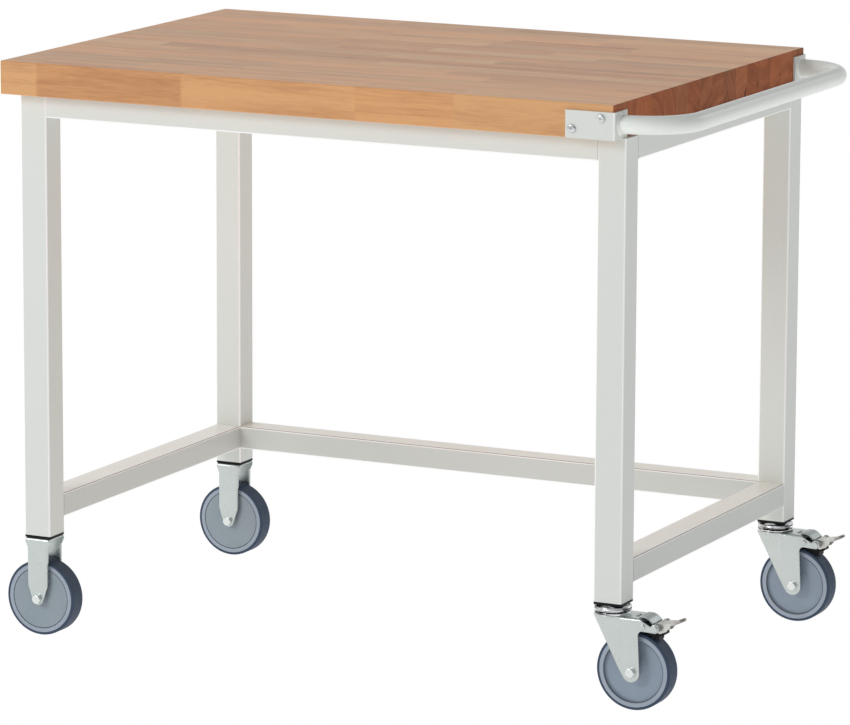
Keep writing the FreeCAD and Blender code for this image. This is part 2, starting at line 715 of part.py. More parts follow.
def swivel_fork():
    fold_low = SWIVEL_CROWN_TOP - WING_LIP - (FORK_FOLD_X - WING_FRONT_X) * WING_SLOPE
    outline = side_plate(
        [
            (FORK_FOLD_X, SWIVEL_CROWN_TOP, 0),
            (50.0, SWIVEL_CROWN_TOP, 10.0),
            (PEDAL_PIVOT[0] - 3, PEDAL_PIVOT[1] + 0.5, 0),
            (PEDAL_PIVOT[0], PEDAL_PIVOT[1] - PEDAL_HUB, 0),
            (49.0, 120.4, 7.0),
            (54.7, 6.4, SWIVEL_TIP_RADIUS),
            (FORK_FOLD_X, fold_low, 0),
        ],
        -FORK_HALF_WIDTH,
        FORK_HALF_WIDTH,
    )
    eye = rod(PEDAL_HUB, PEDAL_PIVOT[0], PEDAL_PIVOT[1], -FORK_HALF_WIDTH, FORK_HALF_WIDTH)
    low = WHEEL_RADIUS - SWIVEL_TIP_RADIUS - 2
    sheet = bent_crown(FORK_FOLD_X, 90.0, low, SWIVEL_CROWN_TOP)
    window_half = COVER_HALF_WIDTH + 1.5
    window = block(50.0, 90.0, -window_half, window_half, 110.0, SWIVEL_CROWN_TOP + 1)
    sides = sheet.common(joined([outline, eye])).cut(window)
    crown_low = SWIVEL_CROWN_TOP - FORK_SHEET
    crown = post(RACE_RADIUS, 0, 0, crown_low, SWIVEL_CROWN_TOP)
    flat = FORK_HALF_WIDTH - FORK_BEND
    bridge = block(0, FORK_FOLD_X + 1, -flat, flat, crown_low, SWIVEL_CROWN_TOP)
    wing = fork_wing()
    fork = joined([sides, crown, bridge, wing, mirrored_y(wing)])
    through = FORK_HALF_WIDTH + 1
    holes = [
        post(FORK_BORE, 0, 0, crown_low - 1, SWIVEL_CROWN_TOP + 1),
        rod(AXLE_RADIUS + SCREW_GAP, SWIVEL_OFFSET, WHEEL_RADIUS, -through, through),
        rod(PIN_RADIUS + SCREW_GAP, *PEDAL_PIVOT, -through, through),
        rod(SHOE_PIN_RADIUS + SCREW_GAP, *SHOE_PIVOT, -through, through),
    ]
    for y in (-RIVET_SPACING / 2, RIVET_SPACING / 2):
        holes.append(post(RIVET_RADIUS + SCREW_GAP, RIVET_X, y, crown_low - 1, SWIVEL_CROWN_TOP + 1))
    return fork.cut(group(holes))


# ---------------------------------------------------------------- brake (caster coordinates)

def brake_cover():
    """A curved cover over the brake: flat on the fork's top sheet, then down to the pedal hub."""
    lift = 0.1
    top = SWIVEL_CROWN_TOP + lift
    corners = [
        (49.0, top, 0),
        (49.0, top + 2.0, 0.6),
        (61.0, top + 2.0, 15.0),
        (70.8, 131.6, 0.8),
        (69.2, 129.4, 0.4),
        (60.0, top, 13.0),
    ]
    return side_plate(corners, -COVER_HALF_WIDTH, COVER_HALF_WIDTH)


def brake_pin(pivot, radius, head_radius):
    end = FORK_HALF_WIDTH + PIN_HEAD_HEIGHT
    x, z = pivot
    head = rod(head_radius, x, z, -end, -FORK_HALF_WIDTH)
    rim = [e for e in head.Edges if abs(e.BoundBox.YMax + end) < TINY]
    head = head.makeFillet(PIN_HEAD_HEIGHT * 0.6, rim)
    return joined([head, mirrored_y(head), rod(radius, x, z, -FORK_HALF_WIDTH, FORK_HALF_WIDTH)])


def pedal_tongue():
    """The thick oval end that the foot presses, tilted up from the pedal's plate."""
    half = TONGUE_THICKNESS / 2
    corners = [
        (-TONGUE_LENGTH / 2, -TONGUE_HALF_WIDTH, 6.0),
        (TONGUE_LENGTH / 2, -TONGUE_HALF_WIDTH, 8.0),
        (TONGUE_LENGTH / 2, TONGUE_HALF_WIDTH, 8.0),
        (-TONGUE_LENGTH / 2, TONGUE_HALF_WIDTH, 6.0),
    ]
    tongue = floor_plate(corners, -half, half)
    rim = [e for e in tongue.Edges if e.BoundBox.ZLength < TINY]
    tongue = tongue.makeFillet(half * 0.8, rim)
    tongue.rotate(V(0, 0, 0), V(0, 1, 0), -TONGUE_TILT)
    return moved(tongue, TONGUE_MIDDLE[0], 0, TONGUE_MIDDLE[1])


def brake_pedal():
    x, z = PEDAL_PIVOT
    lobe_angle = math.radians(CAM_ANGLE)
    lobe_x = x + CAM_THROW * math.sin(lobe_angle)
    lobe_z = z - CAM_THROW * math.cos(lobe_angle)
    hub = rod(PEDAL_HUB, x, z, -PEDAL_HALF_WIDTH, PEDAL_HALF_WIDTH)
    lobe = rod(CAM_RADIUS, lobe_x, lobe_z, -CAM_HALF_WIDTH, CAM_HALF_WIDTH)
    plate = side_plate(
        [
            (x + 1.0, z + 1.0, 0),
            (x + 1.0, z + 5.0, 1.0),
            (98.0, 134.0, 12.0),
            (120.0, 143.7, 0),
            (120.0, 143.7 - PEDAL_SHEET, 0),
            (98.5, 134.0 - PEDAL_SHEET - 0.3, 9.0),
            (lobe_x + 1.0, lobe_z + 1.0, 0),
        ],
        -PEDAL_HALF_WIDTH,
        PEDAL_HALF_WIDTH,
    )
    neck_plan = floor_plate(
        [
            (x - 8, -PEDAL_HALF_WIDTH, 0),
            (95.5, -PEDAL_HALF_WIDTH, 3.0),
            (104.0, -TONGUE_HALF_WIDTH + 2, 0),
            (104.0, TONGUE_HALF_WIDTH - 2, 0),
            (95.5, PEDAL_HALF_WIDTH, 3.0),
            (x - 8, PEDAL_HALF_WIDTH, 0),
        ],
        100.0,
        160.0,
    )
    skirt_corners = [
        (x + 1.0, z + 4.0, 0),
        (x - 0.5, z - PEDAL_HUB, 0),
        (x + 4.0, z - 8.6, 1.5),
        (89.0, 120.7, 3.0),
        (96.0, 131.3, 1.0),
        (95.0, 133.0, 0),
    ]
    inner = PEDAL_HALF_WIDTH - PEDAL_SHEET
    skirt = side_plate(skirt_corners, -PEDAL_HALF_WIDTH, -inner)
    pedal = joined([hub, lobe, plate.common(neck_plan), pedal_tongue(), skirt, mirrored_y(skirt)])
    return pedal.cut(rod(PIN_RADIUS + PIN_GAP, x, z, -PEDAL_HALF_WIDTH - 1, PEDAL_HALF_WIDTH + 1))


def brake_shoe():
    """A shoe that swings on its own pin; its lower face fits the tyre when the brake is on."""
    x, z = SHOE_PIVOT
    hub = rod(SHOE_HUB, x, z, -SHOE_HALF_WIDTH, SHOE_HALF_WIDTH)
    body = side_plate(
        [
            (x - 4.0, z - 2.0, 0),
            (60.0, 108.0, 0),
            (76.0, 100.0, 0),
            (77.0, 112.5, 2.0),
            (85.0, 114.5, 1.5),
            (85.0, 118.5, 1.5),
            (69.3, 118.5, 5.0),
            (x + 4.0, z + 3.0, 0),
        ],
        -SHOE_HALF_WIDTH,
        SHOE_HALF_WIDTH,
    )
    tyre_room = rod(WHEEL_RADIUS + SHOE_GAP, SWIVEL_OFFSET, WHEEL_RADIUS, -HALF_WHEEL, HALF_WHEEL)
    tyre_room = turned_y(tyre_room, SHOE_PIVOT, -SHOE_TRAVEL)
    bore = rod(SHOE_PIN_RADIUS + PIN_GAP, x, z, -SHOE_HALF_WIDTH - 1, SHOE_HALF_WIDTH + 1)
    return joined([hub, body]).cut(group([tyre_room, bore]))


def brake_leaf():
    """A leaf spring riveted under the top sheet; its free end bears down on the shoe's hub."""
    top = SWIVEL_CROWN_TOP - FORK_SHEET
    low = top - LEAF_THICKNESS
    corners = [
        (RIVET_X - 5.0, top, 0),
        (RIVET_X - 5.0, low, 0),
        (RIVET_X + 6.0, low, 2.0),
        (RIVET_X + 12.0, low - 1.2, 0),
        (RIVET_X + 12.2, low - 0.2, 0),
        (RIVET_X + 6.0, top, 3.0),
    ]
    leaf = side_plate(corners, -LEAF_HALF_WIDTH, LEAF_HALF_WIDTH)
    holes = []
    for y in (-RIVET_SPACING / 2, RIVET_SPACING / 2):
        holes.append(post(RIVET_RADIUS + SCREW_GAP, RIVET_X, y, low - 1, top + 1))
    return leaf.cut(group(holes))


def leaf_rivets():
    top = SWIVEL_CROWN_TOP
    low = SWIVEL_CROWN_TOP - FORK_SHEET - LEAF_THICKNESS
    rivets = []
    for y in (-RIVET_SPACING / 2, RIVET_SPACING / 2):
        rivets.append(joined([
            post(RIVET_RADIUS, RIVET_X, y, low, top),
            post(RIVET_HEAD, RIVET_X, y, top, top + RIVET_HEAD_HEIGHT),
            post(RIVET_HEAD, RIVET_X, y, low - RIVET_HEAD_HEIGHT, low),
        ]))
    return group(rivets)


# ---------------------------------------------------------------- assembly

def save_frame():
    save("worktop", worktop())
    for end, y in LEG_Y.items():
        for side, x in LEG_X.items():
            save(f"leg_{end}_{side}", leg(x, y))
        save(f"top_rail_{end}", drilled_top_rail(rail_along_x(y, TOP_RAIL_HEIGHT, TOP_UNDERSIDE)))
    for side, x in LEG_X.items():
        save(f"top_rail_{side}", drilled_top_rail(rail_along_y(x, TOP_RAIL_HEIGHT, TOP_UNDERSIDE)))
        save(f"stretcher_{side}", rail_along_y(x, STRETCHER_HEIGHT, STRETCHER_TOP))
    save("stretcher_rear", rail_along_x(LEG_Y["rear"], STRETCHER_HEIGHT, STRETCHER_TOP))
    corners = [(x, y) for y in LEG_Y.values() for x in LEG_X.values()]
    save("leg_caps", group([leg_cap(x, y) for x, y in corners]))
    save("leg_plugs", group([leg_plug(x, y) for x, y in corners]))
    save("worktop_screws", group([top_screw(x, y) for x, y in rail_screw_points()]))


def save_handle():
    bracket = handle_bracket()
    save("handle_bracket_front", bracket)
    save("handle_bracket_rear", mirrored_y(bracket))
    save("push_handle", push_handle())
    save("bracket_screws", group([bracket_screw(*place) for place in bracket_screw_points()]))


def save_studs():
    studs = []
    for y in LEG_Y.values():
        studs.append(moved(fixed_stud(), LEG_X["left"], y))
        studs.append(moved(swivel_stud(), LEG_X["right"], y))
    save("caster_studs", group(studs))


def save_fixed_casters():
    x = LEG_X["left"]
    for end, y in LEG_Y.items():
        save(f"fixed_fork_{end}", moved(fixed_fork(), x, y))
        save(f"wheel_core_{end}_left", moved(guarded_core(0), x, y))
        save(f"tyre_{end}_left", moved(tyre(0), x, y))
    places = list(LEG_Y.values())
    save("thread_guards", group([moved(thread_guard(side), x, y) for y in places for side in (-1, 1)]))
    save("fixed_axle_tubes", group([moved(axle_tube(0), x, y) for y in places]))
    save("fixed_axle_bolts", group([moved(axle_bolt(0), x, y) for y in places]))
    save("fixed_axle_nuts", group([moved(axle_nut(0), x, y) for y in places]))


def save_swivel_casters():
    shapes = {
        "upper_race": upper_race(),
        "lower_race": lower_race(),
        "bearing_balls": bearing_balls(),
        "swivel_fork": swivel_fork(),
        "wheel_core": wheel_core(SWIVEL_OFFSET, FORK_INSIDE - 0.7),
        "tyre": tyre(SWIVEL_OFFSET),
        "axle_tube": axle_tube(SWIVEL_OFFSET),
        "axle_bolt": axle_bolt(SWIVEL_OFFSET),
        "axle_nut": axle_nut(SWIVEL_OFFSET),
        "brake_cover": brake_cover(),
        "brake_pins": group([
            brake_pin(PEDAL_PIVOT, PIN_RADIUS, PIN_HEAD),
            brake_pin(SHOE_PIVOT, SHOE_PIN_RADIUS, PIN_HEAD - 1),
        ]),
        "brake_pedal": brake_pedal(),
        "brake_shoe": brake_shoe(),
        "brake_leaf": brake_leaf(),
        "leaf_rivets": leaf_rivets(),
    }
    for end, y in LEG_Y.items():
        for name, shape in shapes.items():
            save(f"{name}_{end}_right", moved(shape, LEG_X["right"], y))


def main():
    os.makedirs("parts", exist_ok=True)
    save_frame()
    save_handle()
    save_studs()
    save_fixed_casters()
    save_swivel_casters()
    print("swivel axes x", LEG_X["right"], "y", LEG_Y["front"], LEG_Y["rear"])


main()
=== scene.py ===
import json
import math
import random

import bmesh
import bpy
from mathutils import Matrix, Vector


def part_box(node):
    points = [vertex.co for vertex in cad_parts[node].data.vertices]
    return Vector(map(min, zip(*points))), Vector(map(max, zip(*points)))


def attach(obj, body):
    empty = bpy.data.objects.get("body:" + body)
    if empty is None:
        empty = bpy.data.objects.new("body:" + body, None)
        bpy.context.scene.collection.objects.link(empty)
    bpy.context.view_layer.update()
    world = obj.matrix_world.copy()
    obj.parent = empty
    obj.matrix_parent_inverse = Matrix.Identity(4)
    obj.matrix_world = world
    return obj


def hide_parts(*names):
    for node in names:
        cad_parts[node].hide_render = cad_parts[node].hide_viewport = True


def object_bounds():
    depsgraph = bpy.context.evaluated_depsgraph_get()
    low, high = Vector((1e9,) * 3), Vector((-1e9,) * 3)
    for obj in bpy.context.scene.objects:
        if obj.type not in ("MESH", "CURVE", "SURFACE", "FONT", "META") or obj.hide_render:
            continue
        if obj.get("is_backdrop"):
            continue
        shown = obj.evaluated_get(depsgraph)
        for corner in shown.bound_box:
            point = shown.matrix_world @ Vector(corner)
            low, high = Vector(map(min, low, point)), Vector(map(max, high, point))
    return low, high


# Looks for a mobile work table: a glued beech top on a powder-coated tube frame, with a push handle,
# two fixed casters and two braked swivel casters. Units are metres, in the frame of the CAD model.

SEED = 20417

# Worktop staves; the front row gives the distance of each piece from the left end, and its lightness
STAVE_ROWS = 16
STAVE_LENGTHS = (0.17, 0.42)
SHORTEST_FIRST_STAVE = 0.08
SHORTEST_LAST_STAVE = 0.09
FRONT_ROW = {0.0: 0.86, 0.062: 0.66, 0.306: 0.92, 0.592: 0.76, 0.750: 0.94}
OTHER_TONES = (0.50, 0.95)
FINGER_PITCH = 0.0033
FINGER_DEPTH = 0.006
ARRIS = 0.001
RING_DISTANCE = (0.03, 0.14)
GRAIN_SHIFT = 40.0
SEAM_START = 0.978
CRACK_HEIGHTS = (0.012, 0.032)
CRACK_LEAN = 0.42

# Powder coat: the fourth powers of the three parts of a unit normal add up to 1 on a face that is square to
# an axis, and to less round a tube's corner, where this range lays a painted highlight
CORNER_HIGHLIGHT_SUM = (0.80, 0.9995)
# Upward normals over which the painted light of upward faces takes over from that of other faces
TOP_LIGHT_NORMAL = (0.90, 0.99)
# Upward normals that bound the painted shade line along the upper corners' rounding
CREASE_SHADE_START = (0.76, 0.86)
CREASE_SHADE_END = (0.985, 0.999)

# Zinc sheet: the radius that its sheared edges seem to have
SHEARED_EDGE = 0.0016

# Wheel centre: shares of its radius
DISH_EDGE = 0.868
DISH_BLEND = 0.006
# Span off the dish edge over which the painted groove shadow fades out
GROOVE_SHADOW = (0.010, 0.022)

# Brake pedal: shares of its length, from the pivot end
DARK_TIP_SPAN = (0.66, 0.80)

# Camera
CAMERA_PLACE = (3.4933, -7.0883, 1.9433)
CAMERA_YAW = 26.303
CAMERA_PITCH = -10.970
CAMERA_ROLL = 0.24
CAMERA_LENS = 224.9
SENSOR = 36.0

# Light
SKY = 1.08
SKY_LEAN = (-0.35, 0.05, -0.80)
FLOOR_GREY = 0.60
FLOOR_GLOW = 0.60
FLOOR_SIZE = 80.0
SOFTBOX_FRONT = {"place": (-2.6, -4.6, 3.0), "target": (0.0, 0.0, 0.5), "size": (2.2, 1.6), "power": 80.0}
SOFTBOX_BACK = {"place": (2.6, 4.6, 3.4), "target": (0.0, 0.0, 0.6), "size": (2.0, 1.4), "power": 22.0}


# ---------------------------------------------------------------- node helpers

class Shader:
    """A material whose nodes are added by short calls that return output sockets."""

    def __init__(self, name):
        self.material = bpy.data.materials.new(name)
        self.material.use_nodes = True
        self.tree = self.material.node_tree
        self.tree.nodes.clear()

    def add(self, kind, inputs=(), output=0, **settings):
        node = self.tree.nodes.new(kind)
        for key, value in settings.items():
            setattr(node, key, value)
        for key, value in dict(inputs).items():
            if isinstance(value, bpy.types.NodeSocket):
                self.tree.links.new(value, node.inputs[key])
            else:
                node.inputs[key].default_value = value
        return node.outputs[output]

    def math(self, operation, a, b=0.0, clamp=False):
        return self.add("ShaderNodeMath", {0: a, 1: b}, operation=operation, use_clamp=clamp)

    def vector(self, operation, a, b=(0.0, 0.0, 0.0)):
        output = 1 if operation in ("DOT_PRODUCT", "LENGTH") else 0
        return self.add("ShaderNodeVectorMath", {0: a, 1: b}, output=output, operation=operation)

    def stretched(self, source, scale):
        return self.vector("MULTIPLY", source, scale)

    def noise(self, source, scale, detail=2.0, roughness=0.5):
        inputs = {"Vector": source, "Scale": scale, "Detail": detail, "Roughness": roughness}
        return self.add("ShaderNodeTexNoise", inputs)

    def ramp(self, value, low, high, start=0.0, end=1.0):
        """Maps low..high to start..end, clamped, with soft ends."""
        inputs = {0: value, 1: low, 2: high, 3: start, 4: end}
        return self.add("ShaderNodeMapRange", inputs, interpolation_type="SMOOTHSTEP")

    def blend(self, factor, a, b, blend_type="MIX"):
        inputs = {0: factor, 6: a, 7: b}
        return self.add("ShaderNodeMix", inputs, output=2, data_type="RGBA", blend_type=blend_type)

    def shade(self, color, factor):
        """Multiplies a colour by a grey factor."""
        grey = self.add("ShaderNodeCombineColor", {0: factor, 1: factor, 2: factor})
        return self.blend(1.0, color, grey, "MULTIPLY")

    def bump(self, height, distance, strength, normal=None):
        inputs = {"Height": height, "Distance": distance, "Strength": strength}
        if normal is not None:
            inputs["Normal"] = normal
        return self.add("ShaderNodeBump", inputs)

    def finish(self, color, roughness, normal=None, **surface):
        inputs = {"Base Color": color, "Roughness": roughness}
        if normal is not None:
            inputs["Normal"] = normal
        for key, value in surface.items():
            inputs[key.replace("_", " ").title().replace("Ior", "IOR")] = value
        return self.output(self.add("ShaderNodeBsdfPrincipled", inputs))

    def output(self, surface):
        node = self.tree.nodes.new("ShaderNodeOutputMaterial")
        self.tree.links.new(surface, node.inputs["Surface"])
        return self.material

    def here(self):
        """Coordinates that stay with the piece, in metres."""
        return self.add("ShaderNodeTexCoord", output=3)

    def facing(self):
        """The normal, in the piece's own axes."""
        return self.add("ShaderNodeTexCoord", output=1)

    def box_place(self):
        """Coordinates that run from 0 to 1 across the piece's box."""
        return self.add("ShaderNodeTexCoord", output=0)

    def part(self, source, index):
        """The X, Y or Z part of a vector, for index 0, 1 or 2."""
        return self.add("ShaderNodeSeparateXYZ", {0: source}, output=index)


def rgb(red, green, blue):
    return (red, green, blue, 1.0)


# ---------------------------------------------------------------- materials

def beech(name, light, dark, crack_heights=None):
    """Steamed beech: annual rings round a pith line per stave, fine fibre and short ray flecks.

    End grain has no long fibre to shine, and short dark cracks that fade out between two heights.
    """
    s = Shader(name)
    grain = s.add("ShaderNodeAttribute", output=1, attribute_name="grain")
    tone = s.add("ShaderNodeAttribute", output=0, attribute_name="tone")
    lightness, warmth, across = s.add("ShaderNodeSeparateColor", {0: tone}).node.outputs
    bend = s.noise(s.stretched(grain, (0.8, 1.0, 1.0)), 9.0, 2.0)
    ripple = s.noise(s.stretched(grain, (3.0, 10.0, 10.0)), 6.0, 3.0)
    radius = s.vector("LENGTH", s.stretched(grain, (0.0, 1.0, 1.0)))
    radius = s.math("ADD", radius, s.math("MULTIPLY", bend, 0.012))
    radius = s.math("ADD", radius, s.math("MULTIPLY", ripple, 0.003))
    along = s.math("MULTIPLY", s.part(grain, 0), 0.015)
    ring_place = s.add("ShaderNodeCombineXYZ", {0: along, 1: radius, 2: warmth})
    rings = s.noise(ring_place, 330.0, 2.0, 0.6)
    bands = s.noise(ring_place, 85.0, 2.0, 0.5)
    fibre = s.noise(s.stretched(grain, (30.0, 1300.0, 1300.0)), 1.0, 2.0)
    streak = s.noise(s.stretched(grain, (34.0, 420.0, 420.0)), 1.0, 2.0)
    fleck = s.noise(s.stretched(grain, (260.0, 1500.0, 1500.0)), 1.0, 1.0)
    cloud = s.noise(s.stretched(grain, (5.0, 28.0, 28.0)), 1.0, 3.0)
    fleck_dark = s.ramp(fleck, 0.66, 0.76, 0.0, 0.16)
    mix = lightness
    for source, share in ((rings, 0.55), (bands, 1.0), (fibre, 0.32), (streak, 0.60), (cloud, 0.75)):
        offset = s.math("MULTIPLY", s.math("SUBTRACT", source, 0.5), share)
        mix = s.math("ADD", mix, offset)
    mix = s.math("ADD", mix, 0.0, clamp=True)
    color = s.blend(mix, dark, light)
    warm = s.blend(1.0, color, rgb(1.10, 0.93, 0.80), "MULTIPLY")
    color = s.blend(warmth, color, warm)
    color = s.shade(color, s.math("SUBTRACT", 1.0, fleck_dark))
    seam = s.ramp(s.math("ABSOLUTE", across), SEAM_START, 1.0, 1.0, 0.80)
    color = s.shade(color, seam)
    rough, gloss = 0.40, 0.5
    if crack_heights:
        rough, gloss = 0.60, 0.10
        place = s.here()
        leaning = s.add("ShaderNodeVectorRotate", {0: place, 2: (1.0, 0.0, 0.0), 3: CRACK_LEAN})
        strokes = s.noise(s.stretched(leaning, (20.0, 150.0, 30.0)), 1.0, 2.0)
        low_down = s.ramp(s.part(place, 2), *crack_heights, 1.0, 0.0)
        cracks = s.math("MULTIPLY", s.ramp(strokes, 0.655, 0.700), low_down)
        pores = s.noise(s.stretched(grain, (60.0, 900.0, 900.0)), 1.0, 1.0)
        color = s.shade(color, s.math("SUBTRACT", 1.0, s.math("MULTIPLY", cracks, 0.75)))
        color = s.shade(color, s.ramp(pores, 0.40, 0.62, 0.90, 1.05))
    relief = s.math("ADD", fibre, s.math("MULTIPLY", rings, 0.5))
    normal = s.bump(relief, 0.00012, 0.5)
    roughness = s.ramp(fibre, 0.3, 0.7, rough - 0.06, rough + 0.08)
    return s.finish(color, roughness, normal, specular_ior_level=gloss)


def powder_coat(name, side_lighting=1.0, top_lighting=1.0, crease_shade=1.0, corners=1.0):
    """Light grey powder coat: a soft gloss with a very fine orange peel.

    The factors are painted light and shade: on faces that don't face up, on upward faces and in a thin line
    along the upper corners; the last factor is the strength of a painted highlight along a square tube's
    corners.
    """
    s = Shader(name)
    place = s.here()
    peel = s.noise(place, 900.0, 2.0, 0.55)
    speckle = s.noise(place, 2600.0, 1.0)
    drift = s.noise(place, 3.0, 4.0, 0.6)
    color = s.blend(drift, rgb(0.690, 0.722, 0.680), rgb(0.715, 0.735, 0.715))
    color = s.shade(color, s.ramp(speckle, 0.25, 0.75, 0.985, 1.012))
    facing = s.facing()
    squares = s.vector("MULTIPLY", facing, facing)
    fourth_powers = s.vector("DOT_PRODUCT", squares, squares)
    # Painted highlight along the rounded corners of square tubes
    corner = s.ramp(fourth_powers, *CORNER_HIGHLIGHT_SUM, corners, 0.0)
    upward = s.part(facing, 2)
    # Painted light and shade: upward faces and all other faces get their own brightness factors
    color = s.shade(color, s.ramp(upward, *TOP_LIGHT_NORMAL, side_lighting, top_lighting))
    color = s.blend(corner, color, rgb(1.0, 1.0, 1.0))
    # Painted shade in a thin line along the upper corners' rounding
    crease_shade_mask = s.math("MULTIPLY", s.ramp(upward, *CREASE_SHADE_START), s.ramp(upward, *CREASE_SHADE_END, 1.0, 0.0))
    color = s.blend(crease_shade_mask, color, s.shade(color, crease_shade))
    normal = s.bump(peel, 0.00009, 0.55)
    roughness = s.ramp(speckle, 0.3, 0.7, 0.27, 0.33)
    return s.finish(color, roughness, normal, specular_ior_level=0.5)


def zinc(name, light, dark, roughness):
    """Zinc-plated pressed steel, faintly grained and cloudy, shaded as if its edges were rounded."""
    s = Shader(name)
    place = s.here()
    cloud = s.noise(place, 42.0, 3.0, 0.6)
    grain = s.noise(s.stretched(place, (1.0, 1.0, 0.12)), 1500.0, 2.0)
    color = s.blend(cloud, dark, light)
    color = s.shade(color, s.ramp(grain, 0.3, 0.7, 0.99, 1.01))
    rolled_edge = s.add("ShaderNodeBevel", {"Radius": SHEARED_EDGE}, samples=12)
    normal = s.bump(grain, 0.00001, 0.08, rolled_edge)
    rough = s.ramp(cloud, 0.3, 0.7, roughness - 0.05, roughness + 0.06)
    return s.finish(color, rough, normal, metallic=0.9)


def polished(name, tint, roughness, dark_band):
    """Bright plating with fine turning marks; the darker bands stand for dark things it would mirror."""
    s = Shader(name)
    place = s.here()
    marks = s.noise(s.stretched(place, (90.0, 90.0, 5200.0)), 1.0, 2.0)
    haze = s.noise(place, 120.0, 2.0)
    bands = s.noise(s.stretched(place, (26.0, 26.0, 560.0)), 1.0, 1.0)
    color = s.shade(tint, s.ramp(haze, 0.3, 0.7, 0.93, 1.0))
    color = s.shade(color, s.ramp(bands, 0.44, 0.52, dark_band, 1.0))
    rough = s.ramp(haze, 0.3, 0.7, roughness, roughness + 0.06)
    return s.finish(color, rough, s.bump(marks, 0.00002, 0.3), metallic=1.0)


def tread_rubber():
    """Dark blue-grey thermoplastic rubber with faint scuffs."""
    s = Shader("tyre_rubber")
    place = s.here()
    scuff = s.noise(s.stretched(place, (60.0, 240.0, 60.0)), 1.0, 4.0, 0.65)
    dust = s.noise(place, 1500.0, 2.0)
    color = s.blend(scuff, rgb(0.035, 0.056, 0.096), rgb(0.052, 0.080, 0.130))
    color = s.shade(color, s.ramp(dust, 0.3, 0.7, 0.92, 1.08))
    rough = s.ramp(scuff, 0.3, 0.7, 0.46, 0.62)
    return s.finish(color, rough, s.bump(dust, 0.00006, 0.5), specular_ior_level=0.22)


def moulded(name, light, dark, roughness, gloss=0.45):
    """Moulded plastic with a slight flow pattern and a finely grained surface."""
    s = Shader(name)
    place = s.here()
    flow = s.noise(place, 36.0, 3.0, 0.55)
    texture = s.noise(place, 1900.0, 2.0)
    color = s.blend(flow, dark, light)
    rough = s.ramp(flow, 0.3, 0.7, roughness - 0.05, roughness + 0.07)
    return s.finish(color, rough, s.bump(texture, 0.00005, 0.45), specular_ior_level=gloss)


def wheel_plastic():
    """Blue-grey moulded wheel centre: a paler rim, a painted shadow in the groove inside it and a darker
    dish.
    """
    s = Shader("wheel_moulding")
    place = s.here()
    flow = s.noise(place, 36.0, 3.0, 0.55)
    texture = s.noise(place, 1900.0, 2.0)
    from_axle = s.vector("SUBTRACT", s.box_place(), (0.5, 0.5, 0.5))
    radius = s.vector("LENGTH", s.stretched(from_axle, (2.0, 0.0, 2.0)))
    dish = s.blend(flow, rgb(0.240, 0.300, 0.375), rgb(0.285, 0.345, 0.425))
    rim = s.blend(flow, rgb(0.300, 0.355, 0.430), rgb(0.350, 0.405, 0.485))
    color = s.blend(s.ramp(radius, DISH_EDGE - DISH_BLEND, DISH_EDGE + DISH_BLEND), dish, rim)
    off_groove = s.math("ABSOLUTE", s.math("SUBTRACT", radius, DISH_EDGE))
    # Painted shadow in the groove between rim and dish
    color = s.shade(color, s.ramp(off_groove, *GROOVE_SHADOW, 0.30, 1.0))
    rough = s.ramp(flow, 0.3, 0.7, 0.28, 0.38)
    return s.finish(color, rough, s.bump(texture, 0.00005, 0.45), specular_ior_level=0.45)


def tip_darkened_pedal():
    """Zinc plate with brownish streaks that turns darker and browner towards the tip."""
    s = Shader("pedal_plate")
    place = s.here()
    cloud = s.noise(place, 160.0, 3.0, 0.6)
    streak = s.noise(s.stretched(place, (500.0, 60.0, 60.0)), 1.0, 3.0)
    toward_tip = s.ramp(s.part(s.box_place(), 0), *DARK_TIP_SPAN)
    color = s.blend(cloud, rgb(0.56, 0.555, 0.53), rgb(0.74, 0.745, 0.72))
    color = s.blend(s.ramp(streak, 0.45, 0.70, 0.0, 0.25), color, rgb(0.30, 0.26, 0.22))
    color = s.blend(s.math("MULTIPLY", toward_tip, 0.8), color, rgb(0.27, 0.245, 0.225))
    rough = s.ramp(cloud, 0.3, 0.7, 0.24, 0.40)
    return s.finish(color, rough, s.bump(streak, 0.00003, 0.4), metallic=0.9)


def make_materials():
    black = (rgb(0.012, 0.012, 0.014), rgb(0.005, 0.005, 0.006))
    return {
        "powder_coat": powder_coat("powder_coat_grey"),
        # Lit and shaded copies of the powder coat: painted shade on the stretchers' other faces and a line
        # along their upper corners, painted light on their upward faces; the handle is painted lighter all
        # over
        "stretcher_painted_light_coat": powder_coat("powder_coat_stretchers_painted_light", 0.875, 1.38, 0.22),
        "handle_painted_light_coat": powder_coat("powder_coat_handle_painted_light", 1.22, 1.14, corners=0.0),
        "black_plastic": moulded("black_moulding", *black, 0.50, 0.15),
        "zinc": zinc("zinc_sheet", rgb(0.605, 0.660, 0.650), rgb(0.545, 0.60, 0.59), 0.28),
        # Glossier zinc for axle bolts and nuts; its lighter colour is a painted highlight
        "axle_hardware_painted_highlight": zinc("zinc_bolt_painted_highlight", rgb(0.82, 0.86, 0.84), rgb(0.72, 0.77, 0.75), 0.18),
        "bright_screw": polished("plated_screw", rgb(0.72, 0.73, 0.74), 0.14, 0.70),
        "race_chrome": polished("plated_ring", rgb(0.86, 0.88, 0.90), 0.08, 0.16),
        "cover_steel": zinc("dark_zinc", rgb(0.50, 0.55, 0.55), rgb(0.36, 0.41, 0.41), 0.36),
        "pedal_steel": tip_darkened_pedal(),
        "spring_steel": zinc("blued_strip", rgb(0.28, 0.30, 0.34), rgb(0.18, 0.20, 0.24), 0.30),
        "tyre": tread_rubber(),
        "wheel_plastic": wheel_plastic(),
        "guard_plastic": moulded("guard_moulding", rgb(0.290, 0.345, 0.385), rgb(0.245, 0.300, 0.340), 0.32),
    }


# ---------------------------------------------------------------- worktop

